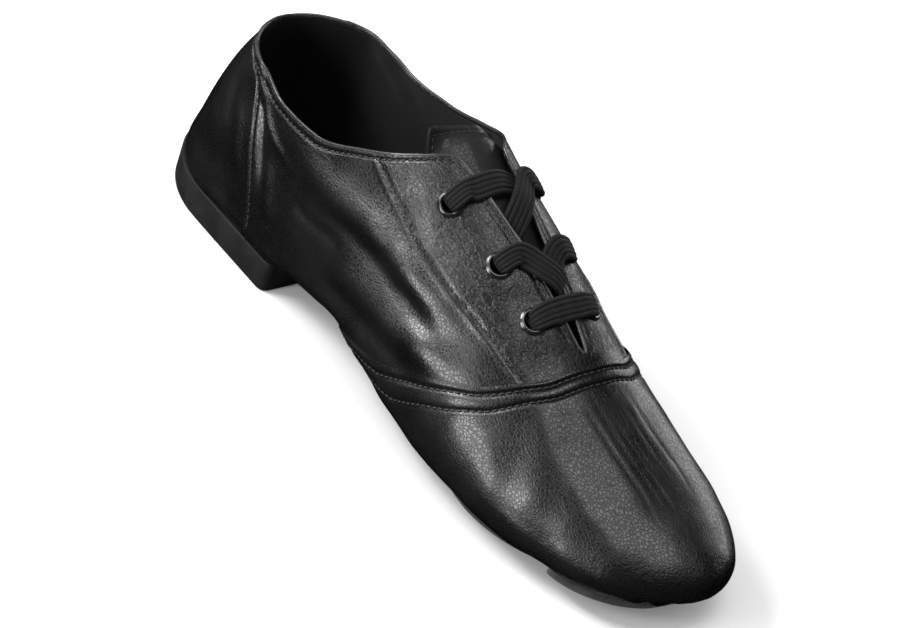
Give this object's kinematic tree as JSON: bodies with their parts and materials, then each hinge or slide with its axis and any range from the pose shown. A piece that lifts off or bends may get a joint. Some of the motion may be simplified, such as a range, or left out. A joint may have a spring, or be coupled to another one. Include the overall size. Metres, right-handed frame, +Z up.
{
  "type": "jazz shoe",
  "caption": "Right lace-up jazz dance shoe: soft black leather upper on a split sole, with suede pads under ball and toes, a low rubber heel, tongue, insole, metal eyelets and a flat lace.",
  "frame": {"origin": "middle of the shoe's box, on the floor that it stands on", "axes": "+X towards the toe, +Y towards the medial side, +Z up"},
  "size_m": [0.2556, 0.0778, 0.0868],
  "materials": {
    "leather": "black pebbled leather, satin gloss",
    "sock_lining": "black woven lining, matt",
    "heel_rubber": "dark grey moulded rubber, matt",
    "suede": "charcoal split suede with a short nap",
    "eyelet_metal": "black enamelled metal, glossy",
    "lace_ribbon": "black ribbed flat lace, matt"
  },
  "bodies": {
    "root": {"upper": "leather", "tongue": "leather", "insole": "sock_lining", "heel": "heel_rubber", "ball_pad": "suede", "toe_pad": "suede", "eyelet_lateral_1": "eyelet_metal", "eyelet_lateral_2": "eyelet_metal", "eyelet_lateral_3": "eyelet_metal", "eyelet_medial_1": "eyelet_metal", "eyelet_medial_2": "eyelet_metal", "eyelet_medial_3": "eyelet_metal", "lace_top": "lace_ribbon", "lace_middle": "lace_ribbon", "lace_bottom": "lace_ribbon"}
  },
  "joints": []
}
